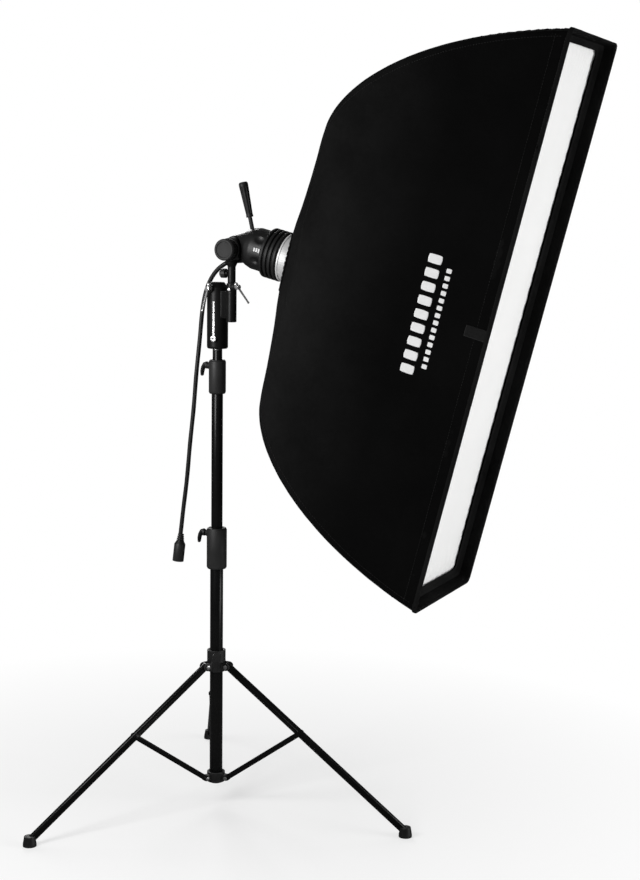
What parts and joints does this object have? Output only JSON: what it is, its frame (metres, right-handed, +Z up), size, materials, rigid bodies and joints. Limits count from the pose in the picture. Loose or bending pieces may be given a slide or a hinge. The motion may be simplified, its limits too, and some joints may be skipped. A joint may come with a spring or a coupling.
{
  "type": "studio softbox",
  "caption": "Strip softbox with recessed white diffuser on a flash head, tilting bracket and folding three-section light stand.",
  "frame": {"origin": "on the floor, on the axis of the stand's tubes", "axes": "+Z up; +X the horizontal direction the light points; +Y completes the right-handed set, away from the tilt knob"},
  "size_m": [1.1107, 0.8614, 1.74],
  "materials": {
    "black_tube": "satin",
    "collar_nylon": "matte",
    "bush_nylon": "matte",
    "knob_black": "satin",
    "pin_steel": "brushed",
    "rubber": "matte",
    "spigot_steel": "brushed",
    "cast_black": "satin black paint",
    "bright_steel": "polished",
    "head_black": "satin",
    "dish_silver": "polished",
    "tube_glass": "frosted",
    "lamp_glass": "clear",
    "dome_glass": "clear",
    "print_white": "printed",
    "ring_silver": "satin",
    "socket_grey": "satin",
    "rod_fibre": "semi-gloss",
    "black_cloth": "matte woven nylon",
    "silver_cloth": "metallised",
    "white_cloth": "translucent white",
    "tape_black": "woven tape",
    "hook_tape": "hook and loop"
  },
  "bodies": {
    "stand_base": {"base_tube": "black_tube", "base_collar": "collar_nylon", "base_bush": "bush_nylon", "lower_spider": "collar_nylon", "lower_spider_pins": "pin_steel"},
    "leg_spider": {"upper_spider": "collar_nylon", "upper_spider_pins": "pin_steel"},
    "spider_screw": {"spider_knob": "knob_black"},
    "leg_front": {"leg_1": "black_tube", "foot_1": "rubber"},
    "leg_left": {"leg_2": "black_tube", "foot_2": "rubber"},
    "leg_right": {"leg_3": "black_tube", "foot_3": "rubber"},
    "brace_front": {"brace_1": "black_tube"},
    "brace_left": {"brace_2": "black_tube"},
    "brace_right": {"brace_3": "black_tube"},
    "lower_riser": {"riser_1_tube": "black_tube", "riser_1_collar": "collar_nylon", "riser_1_bush": "bush_nylon"},
    "upper_riser": {"riser_2_tube": "black_tube", "top_spigot": "spigot_steel"},
    "base_screw": {"base_wing_knob": "knob_black"},
    "riser_screw": {"riser_wing_knob": "knob_black"},
    "adapter": {"adapter_casting": "cast_black", "adapter_bolts": "pin_steel"},
    "lever": {"umbrella_lever": "bright_steel"},
    "t_handle": {"post_t_handle": "bright_steel"},
    "yoke": {"yoke_post": "cast_black", "tilt_bolt": "pin_steel", "power_cable": "rubber", "cable_plug": "knob_black"},
    "post_screw": {"post_knob": "knob_black"},
    "tilt_wheel": {"tilt_knob": "knob_black"},
    "head": {"head_housing": "head_black", "grip_ring": "rubber", "reflector_dish": "dish_silver", "flash_tube": "tube_glass", "modelling_lamp": "lamp_glass", "glass_cover": "dome_glass", "cable_gland": "rubber", "scale_plate": "print_white"},
    "aim_handle": {"handle_shaft": "pin_steel", "handle_grip": "rubber"},
    "softbox": {"speedring_insert": "ring_silver", "speedring_body": "socket_grey", "ring_screws": "pin_steel", "rod_sockets": "socket_grey", "flex_rods": "rod_fibre", "corner_pockets": "tape_black", "outer_shell": "black_cloth", "silver_lining": "silver_cloth", "front_lip": "black_cloth", "neck_binding": "tape_black", "inner_baffle": "white_cloth", "baffle_straps": "tape_black", "front_diffuser": "white_cloth", "touch_patch": "hook_tape", "side_label": "print_white"},
    "ring_latch": {"ring_lock_lever": "knob_black"}
  },
  "joints": [
    {"name": "leg_spread", "type": "slide", "parent": "stand_base", "child": "leg_spider", "axis": [0, 0, 1], "range_m": [0, 0.15]},
    {"name": "leg_front_fold", "type": "hinge", "parent": "leg_spider", "child": "leg_front", "pos_m": [0.03, 0, 0.335], "axis": [0, 1, 0], "range_deg": [-1, 29.95]},
    {"name": "brace_front_fold", "type": "hinge", "parent": "stand_base", "child": "brace_front", "pos_m": [0.03, 0, 0.06657], "axis": [0, 1, 0], "range_deg": [-29.95, 1]},
    {"name": "leg_left_fold", "type": "hinge", "parent": "leg_spider", "child": "leg_left", "pos_m": [-0.015, 0.02598, 0.335], "axis": [-0.866, -0.5, 0], "range_deg": [-1, 29.95]},
    {"name": "brace_left_fold", "type": "hinge", "parent": "stand_base", "child": "brace_left", "pos_m": [-0.015, 0.02598, 0.06657], "axis": [-0.866, -0.5, 0], "range_deg": [-29.95, 1]},
    {"name": "leg_right_fold", "type": "hinge", "parent": "leg_spider", "child": "leg_right", "pos_m": [-0.015, -0.02598, 0.335], "axis": [0.866, -0.5, 0], "range_deg": [-1, 29.95]},
    {"name": "brace_right_fold", "type": "hinge", "parent": "stand_base", "child": "brace_right", "pos_m": [-0.015, -0.02598, 0.06657], "axis": [0.866, -0.5, 0], "range_deg": [-29.95, 1]},
    {"name": "riser_1_slide", "type": "slide", "parent": "stand_base", "child": "lower_riser", "axis": [0, 0, 1], "range_m": [-0.2, 0.19]},
    {"name": "riser_2_slide", "type": "slide", "parent": "lower_riser", "child": "upper_riser", "axis": [0, 0, 1], "range_m": [-0.024, 0.3]},
    {"name": "spider_knob_turn", "type": "hinge", "parent": "leg_spider", "child": "spider_screw", "pos_m": [0, 0, 0.362], "axis": [0.5, -0.866, 0], "range_deg": [-360, 360]},
    {"name": "base_knob_turn", "type": "hinge", "parent": "stand_base", "child": "base_screw", "pos_m": [0, 0, 0.646], "axis": [-1, 0, 0], "range_deg": [-180, 180]},
    {"name": "riser_knob_turn", "type": "hinge", "parent": "lower_riser", "child": "riser_screw", "pos_m": [0, 0, 1.034], "axis": [-1, 0, 0], "range_deg": [-180, 180]},
    {"name": "adapter_pan", "type": "hinge", "parent": "upper_riser", "child": "adapter", "pos_m": [0, 0, 1.11], "axis": [0, 0, 1], "continuous": true},
    {"name": "umbrella_lever_turn", "type": "hinge", "parent": "adapter", "child": "lever", "pos_m": [0, 0, 1.21], "axis": [-0.2079, -0.9781, 0], "range_deg": [-40, 70]},
    {"name": "t_handle_turn", "type": "hinge", "parent": "adapter", "child": "t_handle", "pos_m": [0.05, -0.028, 1.216], "axis": [0.9397, -0.342, 0], "range_deg": [-90, 30]},
    {"name": "post_lift", "type": "slide", "parent": "adapter", "child": "yoke", "axis": [0, 0, 1], "range_m": [0, 0.04]},
    {"name": "post_knob_turn", "type": "hinge", "parent": "yoke", "child": "post_screw", "pos_m": [0.05, -0.028, 1.2455], "axis": [-1, 0, 0], "range_deg": [-360, 360]},
    {"name": "tilt_knob_turn", "type": "hinge", "parent": "yoke", "child": "tilt_wheel", "pos_m": [0.05, -0.05, 1.2985], "axis": [0, 1, 0], "range_deg": [-360, 360]},
    {"name": "head_tilt", "type": "hinge", "parent": "yoke", "child": "head", "pos_m": [0.05, 0, 1.2985], "axis": [0, 1, 0], "range_deg": [-75, 11]},
    {"name": "handle_turn", "type": "hinge", "parent": "head", "child": "aim_handle", "pos_m": [0.08697, 0, 1.34351], "axis": [-0.2301, 0, 0.9732], "range_deg": [-360, 360]},
    {"name": "softbox_roll", "type": "hinge", "parent": "head", "child": "softbox", "pos_m": [0.18351, 0, 1.27988], "axis": [0.9694, 0, -0.2453], "continuous": true},
    {"name": "ring_latch_turn", "type": "hinge", "parent": "softbox", "child": "ring_latch", "pos_m": [0.18351, 0.057, 1.27988], "axis": [0.2453, 0, 0.9694], "range_deg": [-55, 5]}
  ],
  "couplings": [
    {"joint": "leg_front_fold", "follows": "leg_spread", "rad_per_m": 3.462},
    {"joint": "brace_front_fold", "follows": "leg_spread", "rad_per_m": -3.462},
    {"joint": "leg_left_fold", "follows": "leg_spread", "rad_per_m": 3.462},
    {"joint": "brace_left_fold", "follows": "leg_spread", "rad_per_m": -3.462},
    {"joint": "leg_right_fold", "follows": "leg_spread", "rad_per_m": 3.462},
    {"joint": "brace_right_fold", "follows": "leg_spread", "rad_per_m": -3.462}
  ]
}
